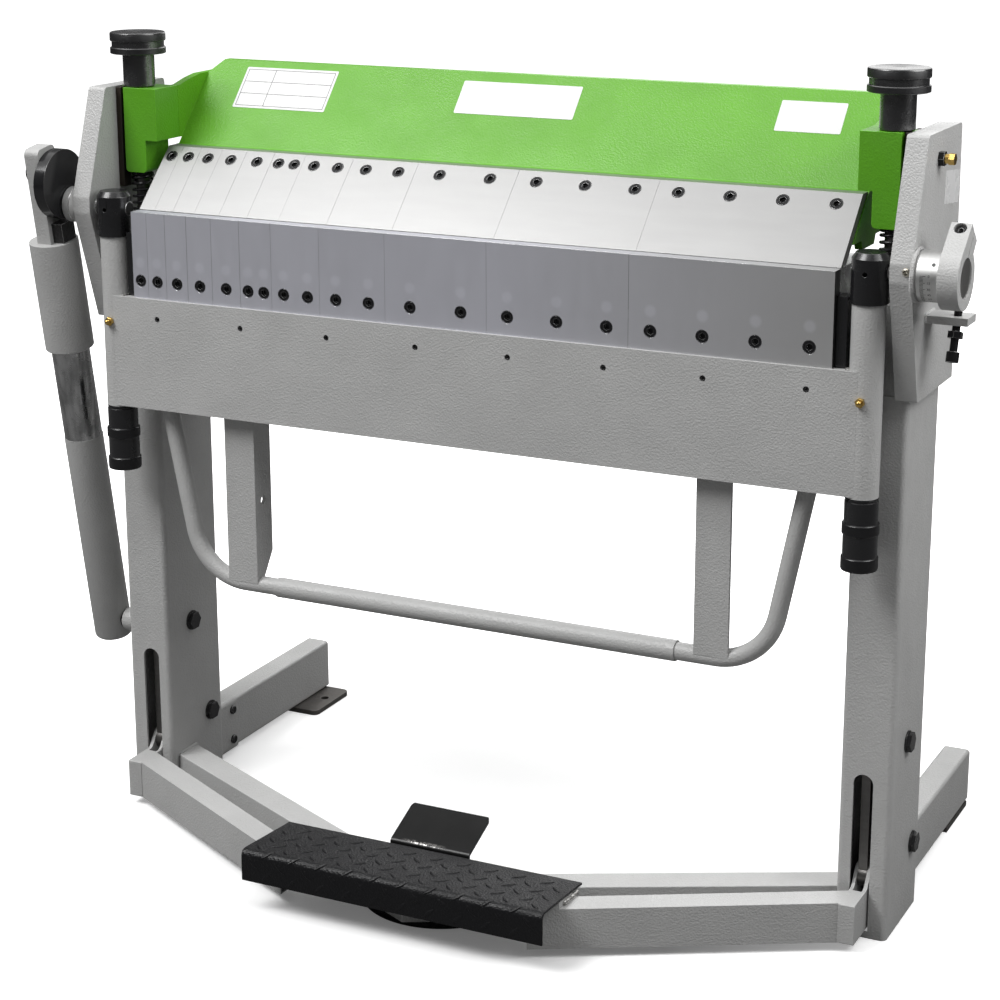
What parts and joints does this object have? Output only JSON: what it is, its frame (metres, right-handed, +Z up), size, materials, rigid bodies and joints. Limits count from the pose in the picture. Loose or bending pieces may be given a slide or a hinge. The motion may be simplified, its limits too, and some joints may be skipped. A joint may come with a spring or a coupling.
{
  "type": "box and pan brake",
  "caption": "Foot-operated box and pan brake: segmented clamping beam, hinged bending leaf with lift handle, pedal, height knobs, balance strut and angle stop on a steel stand.",
  "frame": {"origin": "on the floor below the middle of the bend line", "axes": "+X along the bend line to the operator's right, -Y towards the operator, +Z up"},
  "size_m": [1.3552, 0.765, 1.1379],
  "materials": {
    "green_paint": "satin",
    "grey_paint": "hammered satin",
    "black_steel": "blackened satin",
    "ground_steel": "ground",
    "brass": "turned",
    "chrome": "bright",
    "dial": "satin white"
  },
  "bodies": {
    "frame": {"column_left": "grey_paint", "column_right": "grey_paint", "side_plate_left": "grey_paint", "side_plate_right": "grey_paint", "bed_beam": "grey_paint", "lower_jaw": "ground_steel", "gib_strips": "black_steel", "gib_screws": "brass", "gib_nuts": "black_steel", "rear_foot_left": "grey_paint", "rear_foot_right": "grey_paint", "foot_brackets": "grey_paint", "floor_plates": "ground_steel", "base_spreader": "grey_paint", "latch_base": "black_steel", "frame_bolts": "black_steel", "foot_screws": "black_steel", "hinge_bushes": "ground_steel", "stop_bar": "grey_paint", "pointer_screw": "chrome", "damper_anchor": "grey_paint"},
    "leaf_posts": {"hinge_post_left": "black_steel", "hinge_post_right": "black_steel", "pivot_shaft_left": "ground_steel", "pivot_shaft_right": "ground_steel", "angle_ring": "dial", "crank_disc": "black_steel"},
    "apron": {"apron": "grey_paint", "slide_tubes": "grey_paint", "blade_carrier": "grey_paint", "handle_struts": "grey_paint", "bow_handle": "grey_paint", "grip_sleeve": "grey_paint", "grease_nipples": "brass", "apron_screws": "black_steel", "bending_segments": "ground_steel", "bending_screws": "black_steel"},
    "height_nut_left": {"knurled_nut_left": "black_steel"},
    "height_nut_right": {"knurled_nut_right": "black_steel"},
    "clamp_beam": {"upper_beam": "green_paint", "end_block_left": "green_paint", "end_block_right": "green_paint", "clamping_segments": "ground_steel", "clamping_screws": "black_steel", "pull_rod_left": "ground_steel", "pull_rod_right": "ground_steel", "return_springs": "black_steel"},
    "knob_left": {"knob_left": "black_steel"},
    "knob_right": {"knob_right": "black_steel"},
    "pedal": {"pedal_arm_left": "grey_paint", "pedal_arm_right": "grey_paint", "tread": "black_steel", "lever_pins": "ground_steel"},
    "release_pedal": {"release_pedal": "black_steel"},
    "stop_collar": {"stop_collar": "ground_steel", "collar_screw": "black_steel"},
    "stop_bolt": {"stop_bolt": "black_steel", "stop_nut": "black_steel"},
    "damper_head": {"damper_head": "grey_paint"},
    "damper_tube": {"damper_tube": "grey_paint"}
  },
  "joints": [
    {"name": "leaf_swing", "type": "hinge", "parent": "frame", "child": "leaf_posts", "pos_m": [0, 0, 0.9], "axis": [-1, 0, 0], "range_deg": [0, 135]},
    {"name": "apron_height", "type": "slide", "parent": "leaf_posts", "child": "apron", "axis": [0, 0, 1], "range_m": [-0.02, 0]},
    {"name": "nut_left_spin", "type": "hinge", "parent": "apron", "child": "height_nut_left", "pos_m": [-0.549, -0.004, 0.57], "axis": [0, 0, 1], "range_deg": [-2401, 1]},
    {"name": "nut_right_spin", "type": "hinge", "parent": "apron", "child": "height_nut_right", "pos_m": [0.549, -0.004, 0.57], "axis": [0, 0, 1], "range_deg": [-2401, 1]},
    {"name": "beam_lift", "type": "slide", "parent": "frame", "child": "clamp_beam", "axis": [0, 0, 1], "range_m": [0, 0.045], "deforming": ["return_springs"]},
    {"name": "pedal_swing", "type": "hinge", "parent": "frame", "child": "pedal", "pos_m": [0, 0.1497, 0.1006], "axis": [-1, 0, 0], "range_deg": [0, 34.93]},
    {"name": "knob_left_spin", "type": "hinge", "parent": "clamp_beam", "child": "knob_left", "pos_m": [-0.5516, 0.0744, 1.1], "axis": [0, 0, 1], "continuous": true},
    {"name": "knob_right_spin", "type": "hinge", "parent": "clamp_beam", "child": "knob_right", "pos_m": [0.5516, 0.0744, 1.1], "axis": [0, 0, 1], "continuous": true},
    {"name": "release_press", "type": "hinge", "parent": "frame", "child": "release_pedal", "pos_m": [-0.006, -0.1052, 0.038], "axis": [-1, 0, 0], "range_deg": [0, 12], "stiffness_Nm_per_rad": 4, "springref_deg": -14.32},
    {"name": "collar_turn", "type": "hinge", "parent": "leaf_posts", "child": "stop_collar", "pos_m": [0.6523, 0, 0.9], "axis": [-1, 0, 0], "range_deg": [-90, 90]},
    {"name": "stop_bolt_travel", "type": "slide", "parent": "frame", "child": "stop_bolt", "axis": [0, 0.309, 0.9511], "range_m": [-0.012, 0]},
    {"name": "damper_pivot", "type": "hinge", "parent": "leaf_posts", "child": "damper_head", "pos_m": [-0.6538, -0.022, 0.945], "axis": [-1, 0, 0], "range_deg": [-129, 0]},
    {"name": "damper_stroke", "type": "slide", "parent": "damper_head", "child": "damper_tube", "axis": [0, -0.1595, 0.9872], "range_m": [0, 0.054]}
  ],
  "couplings": [
    {"joint": "nut_left_spin", "follows": "apron_height", "rad_per_m": 2094.4},
    {"joint": "nut_right_spin", "follows": "apron_height", "rad_per_m": 2094.4},
    {"joint": "pedal_swing", "follows": "beam_lift", "rad_per_m": 13.542},
    {"joint": "damper_pivot", "follows": "leaf_swing", "ratio": -0.953},
    {"joint": "damper_stroke", "follows": "leaf_swing", "m_per_rad": 0.0228}
  ]
}
